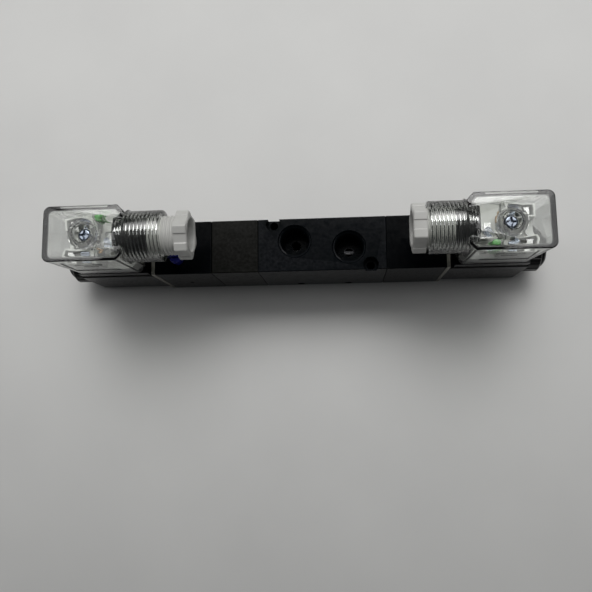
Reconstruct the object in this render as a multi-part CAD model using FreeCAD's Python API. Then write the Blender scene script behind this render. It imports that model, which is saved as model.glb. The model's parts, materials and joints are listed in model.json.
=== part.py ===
"""Double-solenoid, spring-centred 5/3 directional valve.

Frame: X runs along the valve, +Z is up, and the front (the side of the two cross-drilled
mounting holes) faces -Y. The origin is the centre of the main body's bottom face.

Each end of the valve carries the same pilot end: pilot body, plate, coil and plug. It is modelled
once in an end frame whose x runs outwards from the pilot body's inner face. The right end is that
model moved along X, and the left end is the same model turned half a turn about Z.
"""
import os

import FreeCAD
import Part
from FreeCAD import Vector
from math import cos, pi, radians, sin, sqrt

# ---------------------------------------------------------------- driving dimensions, millimetres
# body section and lengths along X
body_width = 22.0
body_height = 35.0
main_half = 26.25
housing_length = 19.3
pilot_length = 23.8
plate_thickness = 1.4
edge_radius = 0.4

# axes
spool_z = 16.0
coil_z = 14.7
gland_z = 57.0

# ports and mounting holes
port_major_radius = 6.58
port_depth = 10.0
port_chamfer = 0.4
supply_port_depth = 9.0
top_port_x = 11.1
top_port_y = 1.5
exhaust_port_radius = 4.865
exhaust_port_depth = 8.0
exhaust_port_x = 18.5
manifold_x = 19.8
manifold_y = 8.9
manifold_radius = 1.65
counterbore_radius = 3.1
counterbore_depth = 3.5
side_hole_x = 10.7
side_hole_z = 3.0
side_hole_radius = 1.65

# spool
spool_bore = 5.0
spool_core = 3.0
spool_land = 4.93
spool_end_x = 24.2
seal_positions = (8.5, 13.7, 23.0)
seal_width = 0.9
seal_bottom = 3.85
seal_top = 4.97
land_width = 2.2
spool_rod = 2.5
gallery_radius = 6.2
galleries = ((0, 2.5), (11.1, 2.0), (18.8, 1.5))

# centring pack, riding on the spool's left rod
pack_cavity_radius = 7.5
pack_centre_x = -34.9
pack_half = 5.3
pack_wall = 1.5
seat_thickness = 1.2
clip_thickness = 0.7
clip_outer = 4.2
clip_inner = 2.1
seat_radius = 7.2
shoulder_radius = 3.4
housing_side_gap = 0.08

# springs: mean radius, wire radius, turns
centring_spring_size = (5.6, 0.6, 4)
override_spring_size = (2.1, 0.22, 5)
plunger_spring_size = (1.75, 0.28, 6)

# pilot end, in the end frame
piston_bore = 8.5
piston_bore_depth = 10.5
piston_radius = 8.42
piston_face = 3.4
piston_length = 4.0
piston_groove = (1.2, 0.6, 6.0)
gasket_inner = 8.9
gasket_outer = 9.9
gasket_thickness = 0.8
flange_recess_radius = 7.5
flange_radius = 7.4
flange_x = 20.95
cavity_radius = 4.7
cavity_x = 17.6
seat_x = 13.6
seat_outer = 2.0
override_x = 14.15
override_y = 4.7
override_head = 2.45
override_bore = 2.5
override_stem = 1.75
override_top = 39.0
override_travel = 1.8
override_step_z = 23.5
override_shoulder_z = 30.0
override_stem_z = 11.0
override_ring = (31.6, 32.8, 1.8)
override_pin_x = 12.95
override_pin_z = 13.9
end_screw_high = (-7.9, 27.5)
end_screw_low = (7.9, 4.2)
end_screw_radius = 1.5
end_screw_engagement = 4.4
end_screw_head = 2.8
countersink_depth = 1.2

# armature
tube_outer = 4.5
tube_inner = 3.95
plunger_radius = 3.88
plunger_x = 18.9
plunger_end = 39.1
plunger_pocket = 8.0
plunger_seal_radius = 2.4
plunger_seal_depth = 1.6
core_x = 40.0
tube_end = 56.8

# coil
coil_start = pilot_length + plate_thickness
coil_length = 32.1
coil_end = coil_start + coil_length
coil_half_width = 10.4
coil_bottom = 1.0
coil_top = 28.5
coil_bore = 4.6
winding_inner = 5.6
winding_outer = 8.8
winding_end_wall = 3.0
washer_radius = 9.9
washer_thickness = 1.5
pedestal_near = 27.2
pedestal_far = 56.6
pedestal_half = 9.9
foot_height = 3.2
foot_inset = 0.8
pedestal_top = 37.2
stud_radius = 3.0
stud_end = 64.5
nut_skirt_radius = 9.7
nut_skirt_length = 7.6
nut_cap_radius = 7.7
nut_length = 9.8
nut_flutes = 20

# plug
plug_near = 26.9
plug_far_top = 57.8
plug_far_bottom = 55.5
plug_bottom = 38.5
plug_top = 65.3
plug_half_top = 10.65
plug_half_bottom = 10.3
plug_wall = 1.35
plug_lid = 1.5
plug_corner = 2.6
fixing_x = 42.7
well_radius = 3.3
well_floor = 60.4
fixing_head = 2.55
fixing_head_height = 2.2
recess_reach = 1.75
recess_half = 0.42
boss_radius = 5.6
boss_bottom = 56.5
screw_hole = 1.6
panel_near = 34.0
panel_far = 52.5
panel_bottom = 45.0
panel_top = 61.5
panel_depth = 0.45
plug_gasket_near = 27.9
plug_gasket_far = 55.9
plug_gasket_half = 10.2
plug_gasket_band = 2.4

# contact carrier inside the plug
insert_floor = 45.5
insert_top = 55.0
blade_top = 47.0
blade_bottom = 31.0
blade_half_width = 3.15
blade_half_thickness = 0.4
live_x = 44.2
live_blade_y = 5.2
earth_x = 35.4
earth_top = 50.4
terminal_x = 44.8
terminal_y = 5.9
terminal_half = 1.85
terminal_near = 41.2
terminal_far = 53.4
terminal_pocket_near = 42.7
terminal_pocket_far = 52.6
spine_near = 50.4
spine_half = 4.0
spine_height = 4.5
earth_half = 3.3
contact_near = 49.2
contact_far = 51.3
clamp_top = 53.4
board_x = 39.9
board_half = 8.2
board_top = 54.8
led_bottom = 53.4
resistor_z = 53.4
led_y = -7.0
led_radius = 1.7
led_shoulder = 58.4

# cable gland
tube_mouth = 13.4
gland_outer = 9.8
gland_bore = 7.65
root_radius = 10.3
cone_end = 33.5
cone_end_radius = 8.3
grommet_seat = 31.35
nut_thread = 7.58
nut_bore = 6.0
nut_shank = 9.0
nut_head = 5.1
nut_flat = 8.25
nut_corner = 9.4
washer_inner = 6.05
grommet_outer = 7.1
washer_outer = 7.1
grommet_bore = 3.8
sleeve_outer = 5.45
sleeve_start = 17.5
left_nut_backed_off = 5.2
right_nut_backed_off = 0.5
left_flat_turn = 38.6
right_flat_turn = 4.4

X = Vector(1, 0, 0)
Y = Vector(0, 1, 0)
Z = Vector(0, 0, 1)
half_width = body_width / 2


# ---------------------------------------------------------------- shape helpers
def block(x0, x1, y0, y1, z0, z1):
    return Part.makeBox(x1 - x0, y1 - y0, z1 - z0, Vector(x0, y0, z0))


def rod_x(x0, x1, radius, y=0.0, z=0.0):
    return Part.makeCylinder(radius, x1 - x0, Vector(x0, y, z), X)


def rod_y(y0, y1, radius, x=0.0, z=0.0):
    return Part.makeCylinder(radius, y1 - y0, Vector(x, y0, z), Y)


def rod_z(z0, z1, radius, x=0.0, y=0.0):
    return Part.makeCylinder(radius, z1 - z0, Vector(x, y, z0), Z)


def ring_x(x0, x1, outer, inner, y=0.0, z=0.0):
    return rod_x(x0, x1, outer, y, z).cut(rod_x(x0 - 1, x1 + 1, inner, y, z))


def join(*shapes):
    result = shapes[0]
    for shape in shapes[1:]:
        result = result.fuse(shape)
    return result.removeSplitter()


def body_section(x0, x1):
    """A length of the valve's outside section with lightly rounded edges."""
    bar = block(x0, x1, -half_width, half_width, 0, body_height)
    return bar.makeFillet(edge_radius, bar.Edges)


def spring(x0, x1, mean_radius, wire, turns):
    """An open helical compression spring along X, from x0 to x1 over its outer faces."""
    height = x1 - x0 - 2 * wire
    path = Part.makeLongHelix(height / turns, height, mean_radius)
    section = Part.Wire(Part.makeCircle(wire, Vector(mean_radius, 0, 0), Y))
    coil = Part.Wire(path.Edges).makePipeShell([section], True, False)
    coil.rotate(Vector(), Y, 90)
    coil.translate(Vector(x0 + wire, 0, 0))
    return coil


def on_right(shape):
    moved = shape.copy()
    moved.translate(Vector(main_half, 0, 0))
    return moved


def on_left(shape):
    moved = shape.copy()
    moved.rotate(Vector(), Z, 180)
    moved.translate(Vector(-main_half - housing_length, 0, 0))
    return moved


# ---------------------------------------------------------------- main body
def top_port(x, y):
    hole = rod_z(body_height - port_depth, body_height + 1, port_major_radius, x, y)
    mouth = Part.makeCone(port_major_radius, port_major_radius + port_chamfer, port_chamfer,
                          Vector(x, y, body_height - port_chamfer), Z)
    passage = rod_z(spool_z, body_height, 2.0, x, y)
    return join(hole, mouth, passage)


def bottom_port(x, radius, depth, passage_radius):
    hole = rod_z(-1, depth, radius, x, 0)
    mouth = Part.makeCone(radius + port_chamfer, radius, port_chamfer, Vector(x, 0, 0), Z)
    passage = rod_z(0, spool_z, passage_radius, x, 0)
    return join(hole, mouth, passage)


def end_screw_holes(x0, x1, radius):
    y_high, z_high = end_screw_high
    y_low, z_low = end_screw_low
    return rod_x(x0, x1, radius, y_high, z_high).fuse(rod_x(x0, x1, radius, y_low, z_low))


def main_body():
    body = body_section(-main_half, main_half)
    cuts = [rod_x(-main_half - 1, main_half + 1, spool_bore, 0, spool_z)]
    for x, reach in galleries:
        cuts.append(rod_x(x - reach, x + reach, gallery_radius, 0, spool_z))
        cuts.append(rod_x(-x - reach, -x + reach, gallery_radius, 0, spool_z))
    cuts.append(top_port(-top_port_x, top_port_y))
    cuts.append(top_port(top_port_x, -top_port_y))
    cuts.append(bottom_port(0, port_major_radius, supply_port_depth, 2.4))
    for side in (-1, 1):
        cuts.append(bottom_port(side * exhaust_port_x, exhaust_port_radius, exhaust_port_depth, 1.4))
        x = side * manifold_x
        y = -side * manifold_y
        cuts.append(rod_z(-1, body_height + 1, manifold_radius, x, y))
        cuts.append(rod_z(body_height - counterbore_depth, body_height + 1, counterbore_radius, x, y))
        cuts.append(rod_y(-half_width - 1, half_width + 1, side_hole_radius,
                          side * side_hole_x, side_hole_z))
    tapped = end_screw_holes(-end_screw_engagement - 0.2, 1, end_screw_radius)
    cuts.append(on_right(tapped))
    opposite = tapped.copy()
    opposite.rotate(Vector(), Z, 180)
    opposite.translate(Vector(-main_half, 0, 0))
    cuts.append(opposite)
    return body.cut(cuts)


# ---------------------------------------------------------------- spool and centring pack
def spool():
    core = rod_x(-spool_end_x, spool_end_x, spool_core, 0, spool_z)
    parts = [core]
    for position in seal_positions:
        for side in (-1, 1):
            x = side * position
            parts.append(rod_x(x - land_width / 2, x + land_width / 2, spool_land, 0, spool_z))
    right_end = main_half + piston_face
    left_end = -main_half - housing_length - piston_face
    shoulder_x = pack_centre_x + pack_half
    parts.append(rod_x(spool_core, right_end, spool_rod, 0, spool_z))
    parts.append(rod_x(left_end, -spool_core, spool_rod, 0, spool_z))
    parts.append(rod_x(shoulder_x, -spool_end_x, shoulder_radius, 0, spool_z))
    body = join(*parts)
    grooves = [ring_x(x - seal_width / 2, x + seal_width / 2, 6, seal_bottom, 0, spool_z)
               for x in seal_places()]
    clip_x = pack_centre_x - pack_half
    grooves.append(ring_x(clip_x - clip_thickness, clip_x, 6, clip_inner, 0, spool_z))
    return body.cut(grooves)


def seal_places():
    return [side * position for position in seal_positions for side in (-1, 1)]


def spool_seals():
    rings = [ring_x(x - seal_width / 2, x + seal_width / 2, seal_top, seal_bottom, 0, spool_z)
             for x in seal_places()]
    return Part.Compound(rings)


def centring_housing():
    start = -main_half - housing_length
    housing = body_section(start, -main_half)
    cavity = rod_x(start + pack_wall, -main_half + 1, pack_cavity_radius, 0, spool_z)
    hole = rod_x(start - 1, -main_half, spool_rod + housing_side_gap, 0, spool_z)
    recess = ring_x(-main_half - gasket_thickness, -main_half + 1, gasket_outer + 0.05,
                    gasket_inner - 0.05, 0, spool_z)
    bolts = on_left(end_screw_holes(-housing_length - 1, 1, end_screw_radius + 0.15))
    return housing.cut([cavity, hole, recess, bolts])


def centring_spring_seats():
    seats = []
    for side in (-1, 1):
        face = pack_centre_x + side * pack_half
        x0 = min(face, face - side * seat_thickness)
        plate = ring_x(x0, x0 + seat_thickness, seat_radius, spool_rod + 0.05, 0, spool_z)
        seats.append(plate)
    return Part.Compound(seats)


def centring_spring():
    inner_face = pack_half - seat_thickness
    coil = spring(pack_centre_x - inner_face, pack_centre_x + inner_face, *centring_spring_size)
    coil.translate(Vector(0, 0, spool_z))
    return coil


def centring_clip():
    clip_x = pack_centre_x - pack_half
    clip = ring_x(clip_x - clip_thickness, clip_x, clip_outer, clip_inner, 0, spool_z)
    gap = block(clip_x - 2, clip_x + 1, -0.9, 0.9, spool_z, spool_z + 6)
    return clip.cut(gap)


# ---------------------------------------------------------------- pilot end, in the end frame
def piston():
    x0 = piston_face
    x1 = piston_face + piston_length
    disc = rod_x(x0, x1, piston_radius, 0, spool_z)
    inner_lip, outer_lip, bottom = piston_groove
    return disc.cut(ring_x(x0 + inner_lip, x1 - outer_lip, piston_radius + 1, bottom, 0, spool_z))


def piston_seal():
    """A lip seal in the piston's groove, open on the pilot pressure side."""
    inner_lip, outer_lip, bottom = piston_groove
    x0 = piston_face + inner_lip
    x1 = piston_face + piston_length - outer_lip
    ring = ring_x(x0, x1, piston_radius + 0.04, bottom, 0, spool_z)
    return ring.cut(ring_x(x1 - 1.2, x1 + 1, 7.7, 6.8, 0, spool_z))


def override_holes():
    head = rod_z(override_step_z, body_height + 1, override_bore, override_x, override_y)
    stem = rod_z(override_stem_z - 0.2 - override_travel, body_height, override_stem + 0.1,
                 override_x, override_y)
    pin = rod_y(1.8, half_width + 1, 0.5, override_pin_x, override_pin_z)
    lead = rod_y(half_width - 0.5, half_width + 1, 0.9, override_pin_x, override_pin_z)
    return [head, stem, pin, lead]


def pilot_body():
    body = body_section(0, pilot_length)
    bore = rod_x(-1, piston_bore_depth, piston_bore, 0, spool_z)
    gasket = ring_x(-1, gasket_thickness, gasket_outer + 0.05, gasket_inner - 0.05, 0, spool_z)
    flange = rod_x(flange_x - 0.05, pilot_length + 1, flange_recess_radius, 0, coil_z)
    cavity = rod_x(cavity_x, pilot_length, cavity_radius, 0, coil_z)
    seat = rod_x(seat_x, pilot_length, seat_outer, 0, coil_z)
    feed = rod_x(piston_bore_depth - 1, seat_x + 0.4, 0.6, 0, coil_z)
    bolts = end_screw_holes(-1, pilot_length + 1, end_screw_radius + 0.15)
    return body.cut([bore, gasket, flange, cavity, seat, feed, bolts] + override_holes())


def pilot_seat():
    """The brass nozzle that the plunger's rubber face closes."""
    stem = rod_x(seat_x, cavity_x + 0.3, seat_outer, 0, coil_z)
    rim = Part.makeCone(1.8, 0.9, 0.5, Vector(cavity_x + 0.3, 0, coil_z), X)
    return join(stem, rim).cut(rod_x(seat_x - 1, cavity_x + 2, 0.5, 0, coil_z))


def body_gasket():
    return ring_x(0, gasket_thickness - 0.05, gasket_outer, gasket_inner, 0, spool_z)


def override_button():
    head = rod_z(override_shoulder_z, override_top, override_head, override_x, override_y)
    top_edges = [edge for edge in head.Edges if edge.BoundBox.ZMin > override_top - 0.01]
    head = head.makeChamfer(0.3, top_edges)
    stem = rod_z(override_stem_z, override_shoulder_z + 0.5, override_stem, override_x, override_y)
    button = join(head, stem)
    slot = block(override_x - 3, override_x + 3, override_y - 0.4, override_y + 0.4,
                 override_top - 0.9, override_top + 1)
    bottom, top, inner = override_ring
    groove = override_groove(bottom, top, inner, 3.0)
    relief = override_groove(override_pin_z - 0.55, override_pin_z + 0.6 + override_travel, 0.65, 3.0)
    return button.cut([slot, groove, relief])


def override_groove(z0, z1, inner, outer):
    core = rod_z(z0, z1, inner, override_x, override_y)
    return rod_z(z0, z1, outer, override_x, override_y).cut(core)


def override_oring():
    bottom, top, inner = override_ring
    return override_groove(bottom + 0.05, top - 0.05, inner, override_head + 0.02)


def override_spring():
    coil = spring(0, override_shoulder_z - override_step_z - 0.1, *override_spring_size)
    coil.rotate(Vector(), Y, -90)
    coil.translate(Vector(override_x, override_y, override_step_z + 0.05))
    return coil


def override_pin():
    return rod_y(2.2, half_width - 0.3, 0.48, override_pin_x, override_pin_z)


def countersink(x, radius, y, z):
    """A 90 degree cone with its wide end at x."""
    return Part.makeCone(radius - countersink_depth, radius, countersink_depth,
                         Vector(x - countersink_depth, y, z), X)


def fixed_plate():
    x0 = pilot_length
    x1 = pilot_length + plate_thickness
    plate = block(x0, x1, -half_width, half_width, 0, body_height)
    corners = [edge for edge in plate.Edges if abs(edge.tangentAt(0).x) > 0.9]
    plate = plate.makeFillet(0.6, corners)
    hole = rod_x(x0 - 1, x1 + 1, tube_outer + 0.04, 0, coil_z)
    cuts = [hole, end_screw_holes(x0 - 1, x1 + 1, end_screw_radius + 0.2)]
    for y, z in (end_screw_high, end_screw_low):
        cuts.append(countersink(x1, end_screw_head + 0.1, y, z))
    return plate.cut(cuts)


def end_screw(y, z, inner_end):
    """A countersunk screw whose head is flush with the plate; inner_end is where its tip stops."""
    x1 = pilot_length + plate_thickness - 0.05
    head = countersink(x1, end_screw_head, y, z)
    shank = rod_x(inner_end, x1 - 1, end_screw_radius - 0.03, y, z)
    recess = rod_x(x1 - 1.0, x1 + 1, 1.0, y, z)
    return join(head, shank).cut(recess)


def end_screws(inner_end):
    return [end_screw(y, z, inner_end) for y, z in (end_screw_high, end_screw_low)]


# ---------------------------------------------------------------- armature and coil
def armature_tube():
    flange = rod_x(flange_x, pilot_length - 0.02, flange_radius, 0, coil_z)
    tube = rod_x(flange_x, tube_end, tube_outer, 0, coil_z)
    return join(flange, tube).cut(rod_x(0, tube_end + 1, tube_inner, 0, coil_z))


def fixed_core():
    plug = rod_x(core_x, tube_end, tube_inner - 0.02, 0, coil_z)
    cap = rod_x(tube_end, coil_end, tube_outer, 0, coil_z)
    stud = rod_x(coil_end - 0.1, stud_end, stud_radius, 0, coil_z)
    return join(plug, cap, stud)


def plunger():
    body = rod_x(plunger_x, plunger_end, plunger_radius, 0, coil_z)
    pocket = rod_x(plunger_end - plunger_pocket, plunger_end + 1, 2.3, 0, coil_z)
    seal = rod_x(plunger_x - 1, plunger_x + plunger_seal_depth, plunger_seal_radius, 0, coil_z)
    return body.cut([pocket, seal])


def plunger_seal():
    return rod_x(cavity_x + 0.85, plunger_x + plunger_seal_depth, plunger_seal_radius, 0, coil_z)


def plunger_spring():
    coil = spring(plunger_end - plunger_pocket + 0.05, core_x - 0.05, *plunger_spring_size)
    coil.translate(Vector(0, 0, coil_z))
    return coil


def coil_body():
    shell = block(coil_start + 0.05, coil_end, -coil_half_width, coil_half_width, coil_bottom, coil_top)
    shell = shell.makeFillet(1.2, [edge for edge in shell.Edges if abs(edge.tangentAt(0).x) > 0.9])
    pedestal = block(pedestal_near, pedestal_far, -pedestal_half, pedestal_half,
                     coil_top - 1, pedestal_top - foot_height)
    foot_half = pedestal_half - foot_inset
    foot = block(pedestal_near + foot_inset, pedestal_far - foot_inset, -foot_half, foot_half,
                 pedestal_top - foot_height - 1, pedestal_top)
    cuts = [rod_x(0, 80, coil_bore, 0, coil_z),
            rod_x(0, coil_start + 0.1 + washer_thickness, washer_radius + 0.05, 0, coil_z),
            ring_x(coil_start, coil_end - winding_end_wall, winding_outer + 0.05,
                   winding_inner - 0.05, 0, coil_z),
            rod_z(29.0, 40, 1.5, fixing_x, 0)]
    cuts += [blade(x, y, wide_x) for x, y, wide_x in blade_places()]
    return join(shell, pedestal, foot).cut(cuts)


def flux_washer():
    x0 = coil_start + 0.1
    return ring_x(x0, x0 + washer_thickness, washer_radius, coil_bore, 0, coil_z)


def coil_winding():
    x0 = coil_start + 0.15 + washer_thickness
    return ring_x(x0, coil_end - winding_end_wall - 0.05, winding_outer, winding_inner, 0, coil_z)


def blade_places():
    """Centre and direction of the three blades: two live ones beside the fixing screw, one earth."""
    return ((live_x, -live_blade_y, True), (live_x, live_blade_y, True), (earth_x, 0.0, False))


def blade(x, y, wide_x):
    half_x, half_y = blade_half_width, blade_half_thickness
    if not wide_x:
        half_x, half_y = half_y, half_x
    return block(x - half_x, x + half_x, y - half_y, y + half_y, blade_bottom, blade_top)


def coil_nut():
    """A round nut with a fluted skirt for the fingers and a smaller closed cap."""
    x0 = coil_end + 0.05
    skirt = outer_edge_broken(rod_x(x0, x0 + nut_skirt_length, nut_skirt_radius), 0.6)
    cap = outer_edge_broken(rod_x(x0, x0 + nut_length, nut_cap_radius), 0.8)
    flutes = []
    for i in range(nut_flutes):
        angle = 2 * pi * i / nut_flutes
        reach = nut_skirt_radius + 0.4
        flutes.append(rod_x(x0 + 1.5, x0 + nut_length, 0.7, reach * sin(angle), reach * cos(angle)))
    nut = join(skirt.cut(flutes), cap)
    nut.translate(Vector(0, 0, coil_z))
    return nut.cut(rod_x(0, stud_end + 0.2, stud_radius + 0.05, 0, coil_z))


def outer_edge_broken(rod, size):
    end = rod.BoundBox.XMax
    return rod.makeChamfer(size, [edge for edge in rod.Edges if edge.BoundBox.XMin > end - 0.01])


def prism_x(x0, x1, flat_radius, sides, turn=0.0):
    """A regular prism along X; flat_radius is the distance from its axis to a flat."""
    corner = flat_radius / cos(pi / sides)
    points = []
    for i in range(sides):
        angle = turn + 2 * pi * (i + 0.5) / sides
        points.append(Vector(x0, -corner * sin(angle), corner * cos(angle)))
    face = Part.Face(Part.makePolygon(points + points[:1]))
    return face.extrude(Vector(x1 - x0, 0, 0))


# ---------------------------------------------------------------- plug
def rounded_outline(x0, x1, half, z, corner, chamfer):
    """A closed outline at height z: chamfered towards the gland, rounded at the far end."""
    k = corner * (1 - 1 / sqrt(2))
    far = x1 - corner
    side = half - corner
    edges = [Part.LineSegment(Vector(x0 + chamfer, -half, z), Vector(far, -half, z)),
             Part.Arc(Vector(far, -half, z), Vector(x1 - k, -half + k, z), Vector(x1, -side, z)),
             Part.LineSegment(Vector(x1, -side, z), Vector(x1, side, z)),
             Part.Arc(Vector(x1, side, z), Vector(x1 - k, half - k, z), Vector(far, half, z)),
             Part.LineSegment(Vector(far, half, z), Vector(x0 + chamfer, half, z)),
             Part.LineSegment(Vector(x0 + chamfer, half, z), Vector(x0, half - chamfer, z)),
             Part.LineSegment(Vector(x0, half - chamfer, z), Vector(x0, -half + chamfer, z)),
             Part.LineSegment(Vector(x0, -half + chamfer, z), Vector(x0 + chamfer, -half, z))]
    return Part.Wire([edge.toShape() for edge in edges])


def plug_block(inset, z0, z1):
    """The plug's tapering outside shape, set in by inset all round, between two heights."""
    height = plug_top - plug_bottom
    wires = []
    for z in (z0, z1):
        share = (z - plug_bottom) / height
        far = plug_far_bottom + share * (plug_far_top - plug_far_bottom) - inset
        half = plug_half_bottom + share * (plug_half_top - plug_half_bottom) - inset
        wires.append(rounded_outline(plug_near + inset, far, half, z, plug_corner - inset / 2,
                                     plug_corner - inset / 2))
    return Part.makeLoft(wires, True, True)


def connector_housing():
    outside = plug_block(0.0, plug_bottom, plug_top)
    rim = [edge for edge in outside.Edges if edge.BoundBox.ZMin > plug_top - 0.01]
    outside = outside.makeFillet(0.5, rim)
    inside = plug_block(plug_wall, plug_bottom - 1, plug_top - plug_lid)
    shell = outside.cut(inside)
    boss = rod_z(boss_bottom, plug_top - plug_lid + 0.2, boss_radius, fixing_x, 0)
    neck = rod_x(tube_mouth, plug_near + 0.1, gland_outer, 0, gland_z)
    root = Part.makeCone(root_radius, cone_end_radius, cone_end - plug_near,
                         Vector(plug_near, 0, gland_z), X)
    whole = join(shell, boss, neck, root)
    cuts = [rod_x(tube_mouth - 1, grommet_seat, gland_bore, 0, gland_z),
            rod_x(grommet_seat - 1, cone_end + 1, 5.0, 0, gland_z),
            rod_z(well_floor, plug_top + 1, well_radius, fixing_x, 0),
            rod_z(boss_bottom - 1, plug_top, screw_hole, fixing_x, 0)]
    for side in (-1, 1):
        y0, y1 = sorted((side * (plug_half_top - panel_depth), side * (plug_half_top + 2)))
        cuts.append(block(panel_near, panel_far, y0, y1, panel_bottom, panel_top))
    return whole.cut(cuts)


def connector_gasket():
    half = plug_gasket_half
    outer = block(plug_gasket_near, plug_gasket_far, -half, half, pedestal_top, plug_bottom)
    outer = outer.makeFillet(2.0, [edge for edge in outer.Edges if abs(edge.tangentAt(0).z) > 0.9])
    half -= plug_gasket_band
    inner = block(plug_gasket_near + plug_gasket_band, plug_gasket_far - plug_gasket_band, -half, half,
                  pedestal_top - 1, plug_bottom + 1)
    return outer.cut(inner)


def terminal_insert():
    """The contact carrier: a base plate with two raised terminal blocks and an earth pillar."""
    base = plug_block(plug_wall + 0.25, plug_bottom + 0.1, insert_floor)
    blocks = []
    pockets = []
    for side in (-1, 1):
        y = side * terminal_y
        blocks.append(block(terminal_near, terminal_far, y - 2.5, y + 2.3, insert_floor - 1, insert_top))
        pockets.append(block(terminal_pocket_near, terminal_pocket_far, y - terminal_half - 0.1,
                             y + terminal_half + 0.1, blade_top, insert_top + 1))
    spine = block(spine_near, terminal_far, -spine_half, spine_half, insert_floor - 1,
                  insert_floor + spine_height)
    pillar = block(earth_x - 2.4, earth_x + 2.2, -4.2, 4.2, insert_floor - 1, insert_floor + 1.3)
    pillar_pocket = block(earth_x - 1.7, earth_x + 1.7, -earth_half - 0.1, earth_half + 0.1,
                          insert_floor + 0.4, insert_top)
    whole = join(base, spine, pillar, *blocks)
    blades = [blade(x, y, wide_x) for x, y, wide_x in blade_places()]
    screw_hole = rod_z(30, insert_top, 2.0, fixing_x, 0)
    return whole.cut(pockets + blades + [pillar_pocket, screw_hole])


def terminal_clamps():
    """Three tinned clamps: a cage under each screw, and on the live ones a contact that stands up."""
    clamps = []
    z0 = blade_top + 0.2
    for side in (-1, 1):
        y = side * terminal_y
        y0 = y - terminal_half
        y1 = y + terminal_half
        cage = block(terminal_x - 1.9, terminal_x + 1.9, y0, y1, z0, clamp_top)
        strip = block(terminal_x, contact_far, y0, y1, z0, z0 + 0.8)
        contact = block(contact_near, contact_far, y0 + 0.5, y1 - 0.5, z0, clamp_top + 0.7)
        tapping = rod_z(z0 + 2.5, clamp_top + 1, 1.3, terminal_x, y)
        clamps.append(join(cage, strip, contact).cut(tapping))
    earth = block(earth_x - 1.5, earth_x + 1.5, -earth_half, earth_half, insert_floor + 0.5, earth_top)
    clamps.append(earth.cut([blade(earth_x, 0, False), rod_z(blade_top, 60, 1.3, earth_x, 0)]))
    return clamps


def terminal_screw(x, y, head_bottom):
    head = rod_z(head_bottom, head_bottom + 1.3, 1.7, x, y)
    shank = rod_z(head_bottom - 2.4, head_bottom + 0.2, 1.25, x, y)
    slot = block(x - 2, x + 2, y - 0.25, y + 0.25, head_bottom + 0.7, head_bottom + 2)
    return join(head, shank).cut(slot)


def terminal_screws():
    return [terminal_screw(terminal_x, -terminal_y, clamp_top + 0.05),
            terminal_screw(terminal_x, terminal_y, clamp_top + 0.05),
            terminal_screw(earth_x, 0.0, earth_top + 0.05)]


def led_board():
    return block(board_x, board_x + 1.0, -board_half, board_half, insert_floor + 0.05, board_top)


def led():
    """A round indicator with a domed top, standing beside the board."""
    x = board_x - 2.1
    body = rod_z(led_bottom + 0.6, led_shoulder, led_radius, x, led_y)
    dome = Part.makeSphere(led_radius, Vector(x, led_y, led_shoulder))
    flange = rod_z(led_bottom, led_bottom + 0.6, led_radius + 0.15, x, led_y)
    return join(body, dome, flange)


def resistor():
    barrel = rod_y(2.0, 5.6, 0.75, board_x - 0.85, resistor_z)
    return barrel.makeFillet(0.3, barrel.Edges)


def suppressor():
    disc = block(board_x - 1.7, board_x - 0.05, -3.6, 0.4, resistor_z - 1.5, board_top - 0.2)
    return disc.makeFillet(0.4, disc.Edges)


def connector_screw():
    """The plug's fixing screw: a rounded pan head with a deep cross recess."""
    top = well_floor + fixing_head_height
    head = rod_z(well_floor + 0.02, top, fixing_head, fixing_x, 0)
    head = head.makeFillet(0.9, [edge for edge in head.Edges if edge.BoundBox.ZMin > top - 0.1])
    shank = rod_z(blade_bottom - 1, well_floor + 1, screw_hole - 0.15, fixing_x, 0)
    slots = [block(fixing_x - a, fixing_x + a, -b, b, well_floor + 0.7, top + 1)
             for a, b in ((recess_reach, recess_half), (recess_half, recess_reach))]
    centre = Part.makeCone(0.3, 1.0, 1.4, Vector(fixing_x, 0, top - 1.3), Z)
    return join(head, shank).cut(slots + [centre])


# ---------------------------------------------------------------- cable gland
def gland_nut(flat_turn):
    """Hexagon head with its corners turned off; flat_turn aims one flat, counted from the top."""
    x0 = tube_mouth - nut_head
    head = prism_x(x0, tube_mouth - 0.03, nut_flat, 6, flat_turn + pi / 6)
    turned = rod_x(x0, tube_mouth - 0.03, nut_corner, 0, 0)
    turned = turned.makeChamfer(0.5, [edge for edge in turned.Edges if edge.BoundBox.XMax < x0 + 0.01])
    head = head.common(turned)
    shank = rod_x(tube_mouth - 0.5, tube_mouth + nut_shank, nut_thread, 0, 0)
    nut = join(head, shank).cut(rod_x(x0 - 1, tube_mouth + nut_shank + 1, nut_bore, 0, 0))
    nut.translate(Vector(0, 0, gland_z))
    return nut


def gland_washer():
    x0 = tube_mouth + nut_shank + 0.02
    return ring_x(x0, x0 + 1.0, washer_outer, washer_inner, 0, gland_z)


def gland_grommet():
    """The seal: a thick ring against the seat, and a sleeve on the cable that reaches into the nut."""
    ring_start = tube_mouth + nut_shank + 1.1
    ring = ring_x(ring_start, grommet_seat - 0.02, grommet_outer, grommet_bore, 0, gland_z)
    sleeve = ring_x(sleeve_start, ring_start - 0.02, sleeve_outer, grommet_bore, 0, gland_z)
    return Part.Compound([ring, sleeve])


# ---------------------------------------------------------------- writing the nodes
def save(name, shapes):
    solids = []
    for shape in shapes:
        solids.extend(shape.Solids)
    for solid in solids:
        if not solid.isValid():
            print("not valid:", name)
    result = solids[0] if len(solids) == 1 else Part.Compound(solids)
    result.exportStep("parts/" + name + ".step")
    print(name, len(solids), round(sum(solid.Volume for solid in solids), 1))


def save_ends(name, shape):
    save(name + "_left", [on_left(shape)])
    save(name + "_right", [on_right(shape)])


def save_group(name, shapes):
    save(name, [on_left(shape) for shape in shapes] + [on_right(shape) for shape in shapes])


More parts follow.
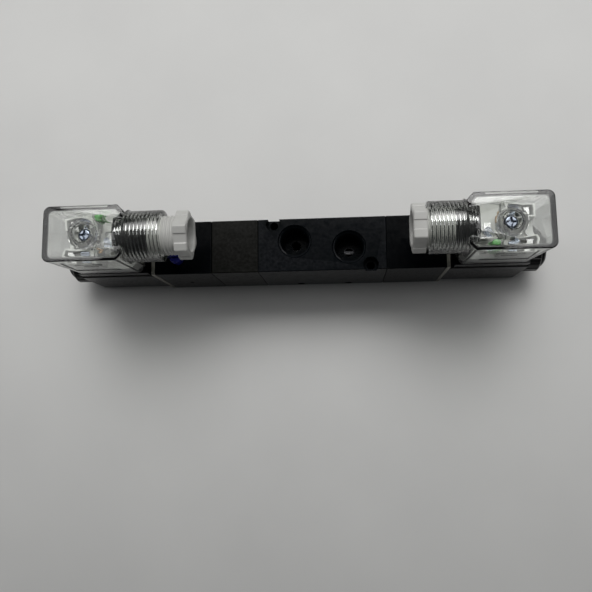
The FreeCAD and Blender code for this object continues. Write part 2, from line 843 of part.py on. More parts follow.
def save_pilot_ends():
    save_ends("pilot_body", pilot_body())
    save_ends("fixed_plate", fixed_plate())
    save_ends("armature_tube", armature_tube())
    save_ends("plunger", plunger())
    save_ends("plunger_seal", plunger_seal())
    save_ends("plunger_spring", plunger_spring())
    save_ends("coil_body", coil_body())
    save_ends("coil_nut", coil_nut())
    save_ends("override_button", override_button())
    save_ends("override_oring", override_oring())
    save_ends("override_spring", override_spring())
    save_ends("connector_housing", connector_housing())
    save_ends("connector_gasket", connector_gasket())
    save_ends("terminal_insert", terminal_insert())
    save_ends("led_board", led_board())
    save_ends("gland_grommet", gland_grommet())


def save_groups():
    save_group("pistons", [piston()])
    save_group("piston_seals", [piston_seal()])
    save_group("pilot_seats", [pilot_seat()])
    save_group("override_pins", [override_pin()])
    save_group("fixed_cores", [fixed_core()])
    save_group("flux_washers", [flux_washer()])
    save_group("coil_windings", [coil_winding()])
    save_group("coil_blades", [blade(x, y, wide_x) for x, y, wide_x in blade_places()])
    save_group("terminal_clamps", terminal_clamps())
    save_group("terminal_screws", terminal_screws())
    save_group("connector_screws", [connector_screw()])
    save_group("indicator_leds", [led()])
    save_group("led_resistors", [resistor()])
    save_group("surge_suppressors", [suppressor()])
    save("end_screws", [on_left(screw) for screw in end_screws(-housing_length - end_screw_engagement)]
         + [on_right(screw) for screw in end_screws(-end_screw_engagement)])
    gaskets = [on_left(body_gasket()), on_right(body_gasket())]
    middle = body_gasket()
    middle.translate(Vector(-main_half - gasket_thickness + 0.02, 0, 0))
    save("body_gaskets", gaskets + [middle])


def save_glands():
    ends = (("left", on_left, left_nut_backed_off, left_flat_turn),
            ("right", on_right, right_nut_backed_off, right_flat_turn))
    for side, place, backed_off, flat_turn in ends:
        parts = (("gland_nut_", gland_nut(radians(flat_turn))), ("gland_washer_", gland_washer()))
        for name, shape in parts:
            shape.translate(Vector(-backed_off, 0, 0))
            save(name + side, [place(shape)])


def main():
    os.makedirs("parts", exist_ok=True)
    save("main_body", [main_body()])
    save("centring_housing", [centring_housing()])
    save("spool", [spool()])
    save("spool_seals", [spool_seals()])
    save("centring_spring", [centring_spring()])
    save("centring_spring_seats", [centring_spring_seats()])
    save("centring_clip", [centring_clip()])
    save_pilot_ends()
    save_groups()
    save_glands()


main()
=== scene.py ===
import json
from math import cos, pi, radians, sin, tau

import bmesh
import bpy
from mathutils import Matrix, Vector


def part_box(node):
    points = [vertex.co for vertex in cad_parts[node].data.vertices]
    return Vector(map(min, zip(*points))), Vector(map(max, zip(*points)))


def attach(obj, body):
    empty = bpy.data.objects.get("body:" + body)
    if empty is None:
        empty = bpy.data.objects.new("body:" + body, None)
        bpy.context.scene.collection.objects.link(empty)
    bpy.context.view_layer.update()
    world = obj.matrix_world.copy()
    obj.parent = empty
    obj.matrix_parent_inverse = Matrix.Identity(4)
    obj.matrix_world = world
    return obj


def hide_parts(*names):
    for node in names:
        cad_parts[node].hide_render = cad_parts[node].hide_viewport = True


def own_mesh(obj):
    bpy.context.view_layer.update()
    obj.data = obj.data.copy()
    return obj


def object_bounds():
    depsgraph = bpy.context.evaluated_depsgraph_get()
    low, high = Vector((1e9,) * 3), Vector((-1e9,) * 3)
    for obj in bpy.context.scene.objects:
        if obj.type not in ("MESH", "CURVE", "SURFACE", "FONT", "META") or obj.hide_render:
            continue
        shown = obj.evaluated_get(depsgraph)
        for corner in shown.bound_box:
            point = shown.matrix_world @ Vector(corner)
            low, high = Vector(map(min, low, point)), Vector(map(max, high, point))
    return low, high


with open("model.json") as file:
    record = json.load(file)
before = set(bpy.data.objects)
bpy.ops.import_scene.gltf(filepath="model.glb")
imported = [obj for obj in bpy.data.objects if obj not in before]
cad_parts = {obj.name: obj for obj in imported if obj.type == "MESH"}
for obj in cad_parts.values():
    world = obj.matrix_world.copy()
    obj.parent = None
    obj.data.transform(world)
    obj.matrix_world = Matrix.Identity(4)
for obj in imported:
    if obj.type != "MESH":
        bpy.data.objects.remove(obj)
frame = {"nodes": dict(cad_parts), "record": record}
cad_low, cad_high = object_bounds()

MM = 0.001
SIDES = ("left", "right")

# Lengths are in mm up to the pieces' final placing. PROUD parts two faces that would coincide, and
# THROUGH takes a cutter past the face that it opens.
PROUD = 0.02
THROUGH = 1.0


# ---------------------------------------------------------------- places taken from the frame
def span(node):
    low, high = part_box(node)
    return low / MM, high / MM


def end_matrix(side):
    """From the end frame (x outwards from the pilot body's inner face, mm) to the world, metres."""
    low, high = span("pilot_body_" + side)
    if side == "right":
        place = Matrix.Translation((low.x, 0, 0))
    else:
        place = Matrix.Translation((high.x, 0, 0)) @ Matrix.Rotation(pi, 4, "Z")
    return Matrix.Scale(MM, 4) @ place


def local(side, x):
    """A world x, in mm, as a distance outwards from the pilot body's inner face."""
    low, high = span("pilot_body_" + side)
    return x - low.x if side == "right" else high.x - x


plug_low, plug_high = span("connector_housing_right")
washer_low, washer_high = span("gland_washer_right")
grommet_high = span("gland_grommet_right")[1]
screw_high = span("connector_screws")[1]
gasket_high = span("connector_gasket_right")[1]
pilot_face = span("pilot_body_right")[0].x

# The clear plug: a box with a screw through it and a round gland neck on its near side.
GLAND_Z = (washer_low.z + washer_high.z) / 2
PLUG_FAR = plug_high.x - pilot_face
PLUG_BOTTOM = gasket_high.z
PLUG_TOP = GLAND_Z + 8.3
PLUG_HALF = (plug_high.y - plug_low.y) / 2
PLUG_CORNER = 2.6
FAR_TAPER = 2.3
SIDE_TAPER = 0.35
WALL = 1.35
LID = 1.5
SCREW_HEAD_RADIUS = 2.55
SCREW_X = screw_high.x - pilot_face - SCREW_HEAD_RADIUS
BOSS_BOTTOM = PLUG_TOP - 6.7
WELL_FLOOR = PLUG_TOP - 4.9
MOUTH = plug_low.x - pilot_face
SEAT = grommet_high.x - pilot_face + PROUD
PLUG_NEAR = MOUTH + 13.5
NECK_RADIUS = 9.8
ROOT_RADIUS = plug_high.z - GLAND_Z

# The recess in each side of the plug.
PANEL_DEPTH = 0.45
PANEL_X = (34.0, 52.5)
PANEL_Z = (45.0, 61.5)

# The gland nut: a hexagon head on a threaded shank that screws into the neck.
PITCH = 1.411
THREAD_DEPTH = 0.5
BORE_RADIUS = 7.65
SHANK_RADIUS = 7.58
NUT_BORE = 6.0
HEAD_LENGTH = 5.1
NUT_FLAT = 8.25
NUT_CORNER = 9.4
CHANNEL_HALF = 1.9
CHANNEL_DEPTH = 0.35
CHANNEL_SIDE = 0.2


# ---------------------------------------------------------------- material helpers
class Nodes:
    """A material with a Principled shader and short calls for the nodes that feed it."""

    def __init__(self, colour, roughness, metallic=0.0):
        self.material = bpy.data.materials.new("material")
        self.material.use_nodes = True
        self.tree = self.material.node_tree
        self.tree.nodes.clear()
        self.shader = self.add("ShaderNodeBsdfPrincipled")
        output = self.add("ShaderNodeOutputMaterial")
        self.surface = output.inputs["Surface"]
        self.volume = output.inputs["Volume"]
        self.link(self.shader.outputs[0], self.surface)
        self.set("Base Color", (*colour, 1))
        self.set("Roughness", roughness)
        self.set("Metallic", metallic)
        self.coordinates = self.add("ShaderNodeTexCoord").outputs["Object"]
        self.last_normal = None

    def add(self, kind):
        return self.tree.nodes.new(kind)

    def link(self, output, socket):
        self.tree.links.new(output, socket)

    def set(self, name, value):
        self.shader.inputs[name].default_value = value

    def stretched(self, stretch):
        mapping = self.add("ShaderNodeMapping")
        mapping.inputs["Scale"].default_value = stretch
        self.link(self.coordinates, mapping.inputs["Vector"])
        return mapping.outputs[0]

    def noise(self, size_mm, detail=4.0, stretch=(1, 1, 1)):
        node = self.add("ShaderNodeTexNoise")
        node.inputs["Scale"].default_value = 1 / (size_mm * MM)
        node.inputs["Detail"].default_value = detail
        self.link(self.stretched(stretch), node.inputs["Vector"])
        return node.outputs["Fac"]

    def spread(self, value, low, high, start=0.3, stop=0.7):
        node = self.add("ShaderNodeMapRange")
        for name, number in (("From Min", start), ("From Max", stop), ("To Min", low), ("To Max", high)):
            node.inputs[name].default_value = number
        self.link(value, node.inputs["Value"])
        return node.outputs[0]

    def blend(self, factor, first, second):
        node = self.add("ShaderNodeMix")
        node.data_type = "RGBA"
        self.link(factor, node.inputs[0])
        for socket, colour in ((node.inputs[6], first), (node.inputs[7], second)):
            if isinstance(colour, tuple):
                socket.default_value = (*colour, 1)
            else:
                self.link(colour, socket)
        return node.outputs[2]

    def colour(self, output):
        self.link(output, self.shader.inputs["Base Color"])

    def rough(self, output):
        self.link(output, self.shader.inputs["Roughness"])

    def bump(self, height, depth_mm, strength=1.0):
        node = self.add("ShaderNodeBump")
        node.inputs["Distance"].default_value = depth_mm * MM
        node.inputs["Strength"].default_value = strength
        self.link(height, node.inputs["Height"])
        if self.last_normal is not None:
            self.link(self.last_normal, node.inputs["Normal"])
        self.last_normal = node.outputs[0]
        self.link(self.last_normal, self.shader.inputs["Normal"])

    def let_lamps_through(self, tint):
        """Lets light reach what is inside a clear shell, dimmed by the tint."""
        clear = self.add("ShaderNodeBsdfTransparent")
        clear.inputs["Color"].default_value = (*tint, 1)
        mix = self.add("ShaderNodeMixShader")
        self.link(self.add("ShaderNodeLightPath").outputs["Is Shadow Ray"], mix.inputs[0])
        self.link(self.shader.outputs[0], mix.inputs[1])
        self.link(clear.outputs[0], mix.inputs[2])
        self.link(mix.outputs[0], self.surface)

    def absorb(self, colour, density):
        """Darkens clear plastic with depth, so that a wall seen along its length is grey."""
        volume = self.add("ShaderNodeVolumeAbsorption")
        volume.inputs["Color"].default_value = (*colour, 1)
        volume.inputs["Density"].default_value = density
        self.link(volume.outputs[0], self.volume)

    def painted_edge_highlight(self, base, light, amount=0.5, start=0.53, stop=0.62):
        """Lightens convex edges with a painted highlight, broken up by noise."""
        edge = self.add("ShaderNodeNewGeometry").outputs["Pointiness"]
        sharp = self.spread(edge, 0.0, amount, start, stop)
        patchy = self.add("ShaderNodeMath")
        patchy.operation = "MULTIPLY"
        self.link(sharp, patchy.inputs[0])
        self.link(self.spread(self.noise(1.2), 0.2, 1.0), patchy.inputs[1])
        return self.blend(patchy.outputs[0], base, light)


def scaled(colour, factor):
    return tuple(min(1.0, c * factor) for c in colour)


def plastic(colour, roughness, grain_mm=0.12, depth_mm=0.006, mottle=0.08, edge=1.5, specular=0.5):
    """Moulded plastic: cloudy, grained, slightly wavy, with a painted highlight along its edges."""
    m = Nodes(colour, roughness)
    m.set("Specular IOR Level", specular)
    darker, lighter = scaled(colour, 1 - mottle), scaled(colour, 1 + mottle)
    cloudy = m.blend(m.spread(m.noise(3.0), 0, 1), darker, lighter)
    # edge scales the colour for the painted highlight on convex edges.
    m.colour(m.painted_edge_highlight(cloudy, scaled(colour, edge)))
    m.rough(m.spread(m.noise(1.6), roughness - 0.05, roughness + 0.06))
    m.bump(m.noise(grain_mm, 3.0), depth_mm, 0.6)
    m.bump(m.noise(7.0, 2.0), 0.03, 0.3)
    return m


def anodised(colour, roughness, light):
    """Extruded and etched aluminium under a dark oxide: fine drawing lines along X."""
    m = Nodes(colour, roughness)
    m.set("Specular IOR Level", 0.07)
    lines = m.noise(0.5, 5.0, (0.03, 1, 1))
    cloudy = m.blend(m.spread(lines, 0, 1), scaled(colour, 0.85), scaled(colour, 1.2))
    # light is the colour of the painted highlight on convex edges.
    m.colour(m.painted_edge_highlight(cloudy, light, 0.55))
    m.rough(m.spread(m.noise(2.0), roughness - 0.04, roughness + 0.06))
    m.bump(lines, 0.002, 0.5)
    m.bump(m.noise(0.09, 2.0), 0.0015, 0.5)
    return m


def metal(colour, roughness, stretch=(1, 1, 1), grain_mm=0.3, depth_mm=0.004):
    """Bare or plated metal; its grain runs along the axes that stretch makes small."""
    m = Nodes(colour, roughness, 1.0)
    grain = m.noise(grain_mm, 5.0, stretch)
    m.colour(m.blend(m.spread(m.noise(1.8), 0, 1), scaled(colour, 0.86), scaled(colour, 1.08)))
    m.rough(m.spread(grain, roughness - 0.06, roughness + 0.1))
    m.bump(grain, depth_mm, 0.6)
    return m


def rubber():
    """Black seals, dusty and slightly uneven."""
    colour = (0.016, 0.016, 0.017)
    m = Nodes(colour, 0.6)
    m.colour(m.blend(m.spread(m.noise(1.0), 0, 1), scaled(colour, 0.7), scaled(colour, 1.6)))
    m.rough(m.spread(m.noise(0.8), 0.5, 0.68))
    m.bump(m.noise(0.15), 0.01, 0.5)
    m.set("Specular IOR Level", 0.4)
    return m


def clear_plastic():
    """Polished polycarbonate with faint flow waviness and handling haze."""
    colour = (0.955, 0.962, 0.955)
    m = Nodes(colour, 0.03)
    m.set("Transmission Weight", 1.0)
    m.set("IOR", 1.57)
    m.colour(m.blend(m.spread(m.noise(6.0), 0, 1), colour, (0.93, 0.94, 0.93)))
    m.rough(m.spread(m.noise(2.5), 0.01, 0.05))
    m.bump(m.noise(5.0, 2.0, (0.5, 1, 1)), 0.02, 0.25)
    m.let_lamps_through((0.97, 0.98, 0.97))
    m.absorb((0.63, 0.637, 0.625), 360.0)
    return m


def led_resin():
    """The green tinted resin of an LED that is off."""
    colour = (0.16, 0.42, 0.16)
    m = Nodes(colour, 0.12)
    m.colour(m.blend(m.spread(m.noise(0.8), 0, 1), colour, (0.25, 0.5, 0.22)))
    m.set("Subsurface Weight", 0.3)
    m.set("Subsurface Radius", (0.001, 0.002, 0.001))
    m.set("Coat Weight", 0.5)
    m.bump(m.noise(0.6), 0.004, 0.3)
    return m


def winding():
    """Enamelled wire laid in turns along the coil."""
    m = Nodes((0.5, 0.2, 0.08), 0.28, 1.0)
    wave = m.add("ShaderNodeTexWave")
    wave.bands_direction = "X"
    wave.inputs["Scale"].default_value = 1 / (0.6 * MM)
    m.link(m.coordinates, wave.inputs["Vector"])
    m.colour(m.blend(wave.outputs["Fac"], (0.32, 0.1, 0.03), (0.62, 0.27, 0.1)))
    m.bump(wave.outputs["Fac"], 0.05, 0.8)
    return m


def make_materials():
    """One material for each slot of the record, named after it."""
    # light and edge set the painted highlight on each material's convex edges.
    made = {
        "body_black": anodised((0.0012, 0.0021, 0.0028), 0.17, light=(0.02, 0.021, 0.024)),
        "housing_olive": anodised((0.0025, 0.0027, 0.0019), 0.2, light=(0.02, 0.02, 0.019)),
        "pilot_plastic": plastic((0.001, 0.0014, 0.0019), 0.2, depth_mm=0.002, specular=0.05),
        "coil_plastic": plastic((0.0018, 0.0018, 0.0026), 0.22, 0.2, 0.003, specular=0.16),
        "coil_nut_plastic": plastic((0.0025, 0.0025, 0.0027), 0.3, specular=0.25),
        "override_blue": plastic((0.012, 0.014, 0.17), 0.3, 0.1, 0.003, mottle=0.1, edge=1.3),
        "insert_plastic": plastic((0.66, 0.66, 0.64), 0.4, 0.15, 0.006, mottle=0.05, edge=1.1),
        "gland_nylon": plastic((0.5, 0.5, 0.482), 0.4, 0.14, 0.006, mottle=0.03, edge=1.05),
        "piston_plastic": plastic((0.66, 0.65, 0.6), 0.35, 0.14, 0.004, mottle=0.03, edge=1.05),
        "board": plastic((0.34, 0.35, 0.33), 0.4, 0.3, 0.01, mottle=0.15, edge=1.2),
        "resistor_tan": plastic((0.42, 0.28, 0.15), 0.3, 0.2, 0.004, mottle=0.1, edge=1.1),
        "suppressor": plastic((0.22, 0.22, 0.21), 0.3, 0.2, 0.004, mottle=0.1, edge=1.2),
        "seal_rubber": rubber(),
        "clear_plastic": clear_plastic(),
        "led_green": led_resin(),
        "winding_copper": winding(),
        "spool_metal": metal((0.75, 0.75, 0.77), 0.2, stretch=(1, 0.1, 0.1)),
        "spring_steel": metal((0.55, 0.55, 0.56), 0.3),
        "turned_steel": metal((0.6, 0.6, 0.61), 0.3, stretch=(1, 0.2, 0.2)),
        "stainless": metal((0.62, 0.61, 0.6), 0.28, stretch=(1, 0.2, 0.2)),
        "plate_zinc": metal((0.3, 0.29, 0.26), 0.4, (1, 1, 0.15), grain_mm=0.5, depth_mm=0.008),
        "seat_brass": metal((0.72, 0.52, 0.24), 0.25, stretch=(1, 0.2, 0.2)),
        "tinned_metal": metal((0.78, 0.78, 0.77), 0.18),
        "screw_zinc": metal((0.25, 0.28, 0.33), 0.2, grain_mm=0.5),
    }
    for slot, m in made.items():
        m.material.name = slot
    return {slot: m.material for slot, m in made.items()}


materials = make_materials()
node_slot = {part["node"]: part["material_slot"] for part in frame["record"]["subparts"]}
for node, piece in frame["nodes"].items():
    piece.data.materials.clear()
    piece.data.materials.append(materials[node_slot[node]])


# ---------------------------------------------------------------- mesh helpers, in mm
def finish_piece(piece, slot, body, *replaced):
    """Gives a piece its material and body, and hides the CAD nodes that it stands in for."""
    piece.data.materials.clear()
    piece.data.materials.append(materials[slot])
    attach(piece, body)
    if replaced:
        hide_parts(*replaced)


def loft(rings):
    """A closed solid through rings of equally many points."""
    bm = bmesh.new()
    loops = [[bm.verts.new(point) for point in ring] for ring in rings]
    count = len(rings[0])
    bm.faces.new(list(reversed(loops[0])))
    bm.faces.new(loops[-1])
    for first, second in zip(loops, loops[1:]):
        for i in range(count):
            j = (i + 1) % count
            bm.faces.new((first[i], first[j], second[j], second[i]))
    return bm


def circle_x(x, radius, z=0.0, segments=96):
    angles = [tau * i / segments for i in range(segments)]
    return [Vector((x, radius * sin(angle), z + radius * cos(angle))) for angle in angles]


def circle_z(z, radius, x, segments=64):
    angles = [tau * i / segments for i in range(segments)]
    return [Vector((x + radius * cos(angle), radius * sin(angle), z)) for angle in angles]


def scratch(name, bm):
    """A temporary operand for a boolean, kept in mm."""
    bmesh.ops.recalc_face_normals(bm, faces=bm.faces)
    mesh = bpy.data.meshes.new(name)
    bm.to_mesh(mesh)
    bm.free()
    piece = bpy.data.objects.new(name, mesh)
    bpy.context.scene.collection.objects.link(piece)
    return piece


def combine(base, operation, *tools):
    """Applies a boolean with each tool in turn, and removes the tools."""
    for tool in tools:
        modifier = base.modifiers.new("cut", "BOOLEAN")
        modifier.object = tool
        modifier.operation = operation
        modifier.solver = "EXACT"
        graph = bpy.context.evaluated_depsgraph_get()
        mesh = bpy.data.meshes.new_from_object(base.evaluated_get(graph))
        base.modifiers.clear()
        old = base.data
        base.data = mesh
        bpy.data.meshes.remove(old)
        bpy.data.objects.remove(tool)
    return base


SMOOTH_DEGREES = 40


def placed(base, name, matrix):
    """A finished copy of a scratch piece, moved from mm to its place, smooth except at sharp edges."""
    mesh = base.data.copy()
    mesh.name = name
    mesh.transform(matrix)
    mesh.shade_smooth()
    mesh.set_sharp_from_angle(angle=radians(SMOOTH_DEGREES))
    piece = bpy.data.objects.new(name, mesh)
    bpy.context.scene.collection.objects.link(piece)
    return piece


def box_mesh(x0, x1, y0, y1, z0, z1):
    outline = [(x0, y0), (x1, y0), (x1, y1), (x0, y1)]
    return loft([[Vector((x, y, z)) for x, y in outline] for z in (z0, z1)])


def rod_rings_z(steps, x):
    return [circle_z(z, radius, x) for z, radius in steps]


# ---------------------------------------------------------------- threads
def whole_turns(x, pitch):
    return int(x // pitch)


def threaded_rod(x0, x1, crest, root, pitch, rows=10, segments=72):
    """A rod along x with a rounded right-hand thread; it runs at least a turn past x0 and x1.

    Its rows follow the helix, so that each flank stays crisp: one past the last column of a row
    is the first column, one turn further on. The thread's phase is the same for every rod of a
    pitch, so a nut and its bore agree.
    """
    first_turn = whole_turns(x0, pitch) - 2
    count = (whole_turns(x1, pitch) + 2 - first_turn) * rows
    bm = bmesh.new()
    columns = []
    for i in range(segments):
        theta = tau * i / segments
        last = count + rows if i == 0 else count
        column = []
        for k in range(last + 1):
            radius = root + (crest - root) * (0.5 + 0.5 * cos(tau * k / rows))
            x = pitch * (first_turn + k / rows + i / segments)
            column.append(bm.verts.new((x, -radius * sin(theta), radius * cos(theta))))
        columns.append(column)

    def at(k, i):
        return columns[i][k] if i < segments else columns[0][k + rows]

    for k in range(count):
        for i in range(segments):
            bm.faces.new((at(k, i), at(k, i + 1), at(k + 1, i + 1), at(k + 1, i)))
    for k in (0, count):
        centre = bm.verts.new((pitch * (first_turn + k / rows + 0.5), 0, 0))
        rim = [at(k, i) for i in range(segments + 1)]
        rim += [columns[0][j] for j in range(k + rows - 1, k - 1, -1)]
        for near, far in zip(rim, rim[1:]):
            bm.faces.new((centre, near, far))
    return bm


def clipped_rod(profile, thread):
    """The part of a threaded rod inside a turned profile of (x, radius) pairs."""
    limit = scratch("limit", loft([circle_x(x, radius) for x, radius in profile]))
    return combine(scratch("rod", threaded_rod(*thread)), "INTERSECT", limit)


# ---------------------------------------------------------------- clear plug housing
def corner_arc(cx, cy, radius, start, steps):
    angles = [radians(start + 90 * k / steps) for k in range(steps + 1)]
    return [(cx + radius * cos(angle), cy + radius * sin(angle)) for angle in angles]


def plug_outline(x0, x1, half, corner, chamfer):
    """Rounded at the far end, chamfered towards the gland, anticlockwise from the near side."""
    points = [(x0, -half + chamfer), (x0 + chamfer, -half)]
    points += corner_arc(x1 - corner, -half + corner, corner, -90, 8)
    points += corner_arc(x1 - corner, half - corner, corner, 0, 8)
    points += [(x0 + chamfer, half), (x0, half - chamfer)]
    return points


def plug_level(z, inset):
    """The plug's outline at a height, less an inset; it tapers towards its bottom."""
    drop = (PLUG_TOP - z) / (PLUG_TOP - PLUG_BOTTOM)
    far = PLUG_FAR - FAR_TAPER * drop - inset
    half = PLUG_HALF - SIDE_TAPER * drop - inset
    corner = PLUG_CORNER - inset * 0.5
    outline = plug_outline(PLUG_NEAR + inset, far, half, corner, corner)
    return [Vector((x, y, z)) for x, y in outline]


def rounded_top(inset, z0, z1, radius, steps=4):
    """Levels of the tapering plug from z0 to z1, with its top edge rolled over."""
    levels = [plug_level(z0, inset), plug_level(z1 - radius, inset)]
    for k in range(1, steps + 1):
        angle = pi / 2 * k / steps
        levels.append(plug_level(z1 - radius + radius * sin(angle), inset + radius * (1 - cos(angle))))
    return levels


def side_block(name, side, inside, outside, x0, x1, z0, z1):
    """A block in or on one side of the plug, between two distances from its widest level."""
    y0, y1 = sorted((side * (PLUG_HALF - inside), side * (PLUG_HALF + outside)))
    return scratch(name, box_mesh(x0, x1, y0, y1, z0, z1))


def side_panel(side):
    """A shallow recess in each side, where such plugs carry their markings."""
    return side_block("panel", side, PANEL_DEPTH, 2.0, *PANEL_X, *PANEL_Z)


def relief_bars(side):
    """Blank raised bars in the recess, in place of the markings."""
    middle, height = 43.75, 0.9
    rows = [(57.5, 3.25), (54.6, 5.25), (51.6, 2.75)]
    return [side_block("bar", side, PANEL_DEPTH + 0.17, -0.2, middle - half, middle + half, z, z + height)
            for z, half in rows]


def screw_boss():
    """The round boss under the lid that the fixing screw goes through."""
    ceiling = PLUG_TOP - LID
    steps = [(BOSS_BOTTOM, 4.5), (BOSS_BOTTOM + 0.2, 4.7), (ceiling - 0.9, 4.8), (ceiling - 0.6, 5.6),
             (ceiling + 0.4, 5.7)]
    return scratch("boss", loft(rod_rings_z(steps, SCREW_X)))


def screw_well():
    """The counterbore that the screw's head sits in, open to the lid's top."""
    steps = [(WELL_FLOOR, 3.2), (PLUG_TOP - 0.3, 3.3), (PLUG_TOP + 0.1, 3.7), (PLUG_TOP + THROUGH, 3.7)]
    return scratch("well", loft(rod_rings_z(steps, SCREW_X)))


def screw_hole():
    steps = [(BOSS_BOTTOM - THROUGH, 1.6), (WELL_FLOOR + THROUGH, 1.6)]
    return scratch("hole", loft(rod_rings_z(steps, SCREW_X)))


def gland_neck():
    """The round neck, with a rounded mouth; it swells to its root and narrows inside the plug."""
    steps = [(MOUTH, NECK_RADIUS - 0.45), (MOUTH + 0.15, NECK_RADIUS - 0.13),
             (MOUTH + 0.45, NECK_RADIUS), (PLUG_NEAR - 0.5, NECK_RADIUS),
             (PLUG_NEAR, ROOT_RADIUS), (PLUG_NEAR + 3.6, 8.32)]
    return scratch("neck", loft([circle_x(x, radius, GLAND_Z) for x, radius in steps]))


def gland_bore():
    """The neck's threaded bore down to the grommet's seat, with a broken edge at its mouth."""
    reach = BORE_RADIUS + THROUGH
    thread = (MOUTH, SEAT, BORE_RADIUS + PROUD, BORE_RADIUS + PROUD - THREAD_DEPTH, PITCH)
    bore = clipped_rod([(MOUTH - THROUGH, reach), (SEAT, reach)], thread)
    mouth = loft([circle_x(MOUTH - 0.5, BORE_RADIUS + 0.4), circle_x(MOUTH + 0.5, BORE_RADIUS - 0.5)])
    combine(bore, "UNION", scratch("mouth", mouth))
    bore.data.transform(Matrix.Translation((0, 0, GLAND_Z)))
    return bore


def cable_inlet():
    """From the grommet's seat into the plug."""
    radius, length = 5.0, 4.0
    rings = [circle_x(x, radius, GLAND_Z) for x in (SEAT - THROUGH, SEAT + length)]
    return scratch("inlet", loft(rings))


def seam(x0, x1, top, rise):
    """The mould's parting line, a low ridge along the middle of the lid or the neck."""
    half = 0.14
    return scratch("seam", box_mesh(x0, x1, -half, half, top - 0.2, top + rise))


def build_housing():
    """The clear plug housing in the end frame; both ends carry the same one."""
    shell = scratch("housing", loft(rounded_top(0.0, PLUG_BOTTOM, PLUG_TOP, 0.4)))
    cavity = scratch("cavity", loft(rounded_top(WALL, PLUG_BOTTOM - 2, PLUG_TOP - LID, 0.8)))
    combine(shell, "DIFFERENCE", cavity)
    combine(shell, "UNION", screw_boss(), gland_neck())
    panels = [side_panel(side) for side in (-1, 1)]
    combine(shell, "DIFFERENCE", gland_bore(), cable_inlet(), screw_well(), screw_hole(), *panels)
    lid_seam = seam(SCREW_X + 6.2, PLUG_FAR - 1, PLUG_TOP, 0.08)
    neck_seam = seam(MOUTH + 0.6, PLUG_NEAR - 0.3, GLAND_Z + NECK_RADIUS, 0.06)
    return combine(shell, "UNION", *relief_bars(-1), *relief_bars(1), lid_seam, neck_seam)


housing = build_housing()
for side in SIDES:
    piece = placed(housing, "plug_housing_" + side, end_matrix(side))
    finish_piece(piece, "clear_plastic", "valve", "connector_housing_" + side)
bpy.data.objects.remove(housing)


# ---------------------------------------------------------------- gland nuts
def hexagon_ring(x, inset, turn, segments=288):
    """A hexagon with turned corners and a shallow channel along each flat, about the gland axis."""
    ring = []
    for i in range(segments):
        theta = tau * i / segments
        off = theta - turn - round((theta - turn) / (pi / 3)) * (pi / 3)
        flat = NUT_FLAT - inset
        side = abs(flat * sin(off) / cos(off))
        if side < CHANNEL_HALF:
            flat -= CHANNEL_DEPTH * min(1.0, (CHANNEL_HALF - side) / CHANNEL_SIDE)
        radius = min(NUT_CORNER - inset, flat / cos(off))
        ring.append(Vector((x, -radius * sin(theta), radius * cos(theta))))
    return ring


def nut_head(start, stop, turn):
    """The hexagon, with its outer face turned to a round and its inner edge just broken."""
    steps = [(start, 0.7), (start + 0.1, 0.35), (start + 0.3, 0.1), (start + 0.55, 0.0),
             (stop - 0.4, 0.0), (stop - 0.1, 0.08), (stop, 0.3)]
    return scratch("nut", loft([hexagon_ring(x, inset, turn) for x, inset in steps]))


def nut_shank(start, end):
    """The threaded shank, from inside the head to its tapered end."""
    core = SHANK_RADIUS - THREAD_DEPTH
    profile = [(start, SHANK_RADIUS), (end - 0.7, SHANK_RADIUS), (end, core)]
    return clipped_rod(profile, (start, end, SHANK_RADIUS, core, PITCH))


def nut_hole(start, end):
    """The cable's hole, flared at both ends."""
    steps = [(start - THROUGH, 0.55), (start, 0.55), (start + 0.25, 0.2), (start + 0.8, 0),
             (end - 0.8, 0), (end, 0.5), (end + THROUGH, 0.5)]
    return scratch("bore", loft([circle_x(x, NUT_BORE + more) for x, more in steps]))


def build_gland_nut(side, turn):
    """turn is how far a flat has turned from facing upwards when the nut is at rest."""
    node = "gland_nut_" + side
    start, end = sorted(local(side, corner.x) for corner in span(node))
    head_stop = start + HEAD_LENGTH - 0.03
    nut = nut_head(start, head_stop, turn)
    combine(nut, "UNION", nut_shank(head_stop - THROUGH, end))
    combine(nut, "DIFFERENCE", nut_hole(start, end))
    place = end_matrix(side) @ Matrix.Translation((0, 0, GLAND_Z))
    piece = placed(nut, "cable_gland_nut_" + side, place)
    bpy.data.objects.remove(nut)
    finish_piece(piece, "gland_nylon", node, node)


build_gland_nut("left", radians(38.6))
build_gland_nut("right", radians(4.4))


# ---------------------------------------------------------------- port threads
LARGE_PORT_RADIUS = 6.0
LARGE_PITCH, LARGE_DEPTH = 1.337, 0.82
SMALL_PITCH, SMALL_DEPTH = 0.907, 0.55
OPEN_END_GAP = 0.4
LINING_BITE = 0.05


def port_thread(mount):
    """A threaded lining just proud of a port's wall, a little short of its open end."""
    centre = Vector(mount["pos_m"]) / MM
    major = mount["dims"]["r_mm"]
    half = mount["dims"]["length_mm"] / 2
    large = major > LARGE_PORT_RADIUS
    pitch, depth = (LARGE_PITCH, LARGE_DEPTH) if large else (SMALL_PITCH, SMALL_DEPTH)
    low, high = centre.z - half, centre.z + half
    if mount["axis"][2] > 0:
        high -= OPEN_END_GAP
    else:
        low += OPEN_END_GAP
    lining = scratch("lining", loft([circle_x(z, major + LINING_BITE) for z in (low, high)]))
    tap = scratch("tap", threaded_rod(low, high, major - PROUD, major - depth, pitch))
    combine(lining, "DIFFERENCE", tap)
    upright = Matrix.Translation((centre.x, centre.y, 0)) @ Matrix.Rotation(-pi / 2, 4, "Y")
    piece = placed(lining, mount["name"].replace("port", "thread"), Matrix.Scale(MM, 4) @ upright)
    bpy.data.objects.remove(lining)
    finish_piece(piece, "body_black", "valve")


for mount in frame["record"]["mounts"]:
    if mount["kind"] == "threaded_hole":
        port_thread(mount)


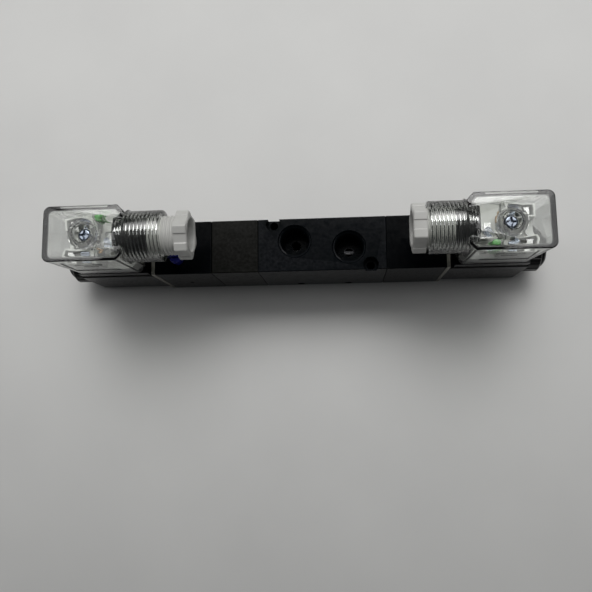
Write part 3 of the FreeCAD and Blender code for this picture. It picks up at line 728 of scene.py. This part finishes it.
# ---------------------------------------------------------------- return springs
def shorten_springs():
    """Gives each return spring that a joint deforms a mesh of its own."""
    for joint in frame["record"]["behaviour"]["joints"]:
        for spring in joint.get("deforming_nodes", ()):
            letter = spring["mode"][-1]
            place = "xyz".index(letter)
            axis = Vector((0, 0, 0))
            axis[place] = 1
            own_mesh(frame["nodes"][spring["node"]])


shorten_springs()


# ---------------------------------------------------------------- floor, lights and camera
FLOOR_HALF = 2.5
FLOOR_GAP = 0.0001


def floor():
    """A plain pale floor, faintly cloudy."""
    m = Nodes((0.62, 0.62, 0.61), 0.6)
    m.material.name = "floor"
    m.colour(m.blend(m.spread(m.noise(60.0), 0, 1), (0.6, 0.6, 0.592), (0.635, 0.635, 0.625)))
    m.bump(m.noise(2.0), 0.02, 0.2)
    bm = bmesh.new()
    bmesh.ops.create_grid(bm, x_segments=4, y_segments=4, size=FLOOR_HALF)
    mesh = bpy.data.meshes.new("floor")
    bm.to_mesh(mesh)
    bm.free()
    plane = bpy.data.objects.new("floor", mesh)
    plane.location.z = cad_low.z - FLOOR_GAP
    bpy.context.scene.collection.objects.link(plane)
    mesh.materials.append(m.material)


def area_light(name, place, aim, size, power, spread, colour=(1, 1, 1)):
    """A rectangular lamp; its spread is in degrees."""
    light = bpy.data.lights.new(name, "AREA")
    light.shape = "RECTANGLE"
    light.size, light.size_y = size
    light.energy = power
    light.spread = radians(spread)
    light.color = colour
    lamp = bpy.data.objects.new(name, light)
    lamp.location = place
    lamp.rotation_euler = (Vector(aim) - Vector(place)).to_track_quat("-Z", "Y").to_euler()
    bpy.context.scene.collection.objects.link(lamp)


def lights():
    """A broad lamp behind the valve and two ceiling lamps, which show in its glossy faces."""
    world = bpy.data.worlds.new("studio")
    world.use_nodes = True
    background = world.node_tree.nodes["Background"]
    background.inputs["Color"].default_value = (0.95, 0.97, 1.0, 1)
    background.inputs["Strength"].default_value = 0.06
    bpy.context.scene.world = world
    area_light("key", (0.0, 0.46, 0.5), aim=(0, 0.16, 0), size=(1.4, 0.6), power=2.0, spread=60,
               colour=(1.0, 0.997, 0.985))
    for x in (-0.45, 0.34):
        area_light("ceiling", (x, 0.14, 0.62), aim=(0, 0.12, 0), size=(0.32, 0.36), power=0.28,
                   spread=120)


def camera():
    """Nearly overhead, a little in front of the valve."""
    data = bpy.data.cameras.new("camera")
    data.sensor_width = 36
    data.lens = 38.85
    view = bpy.data.objects.new("camera", data)
    place = (0.0089, -0.0574, 0.2903)
    forward = Vector((-0.076, 0.140, -0.987)).normalized()
    up = Vector((0.023, 0.990, 0.140))
    right = forward.cross(up).normalized()
    up = right.cross(forward)
    turn = Matrix((right, up, -forward)).transposed()
    view.matrix_world = Matrix.Translation(place) @ turn.to_4x4()
    bpy.context.scene.collection.objects.link(view)
    bpy.context.scene.camera = view


floor()
lights()
camera()
bpy.context.scene.view_settings.view_transform = "Standard"
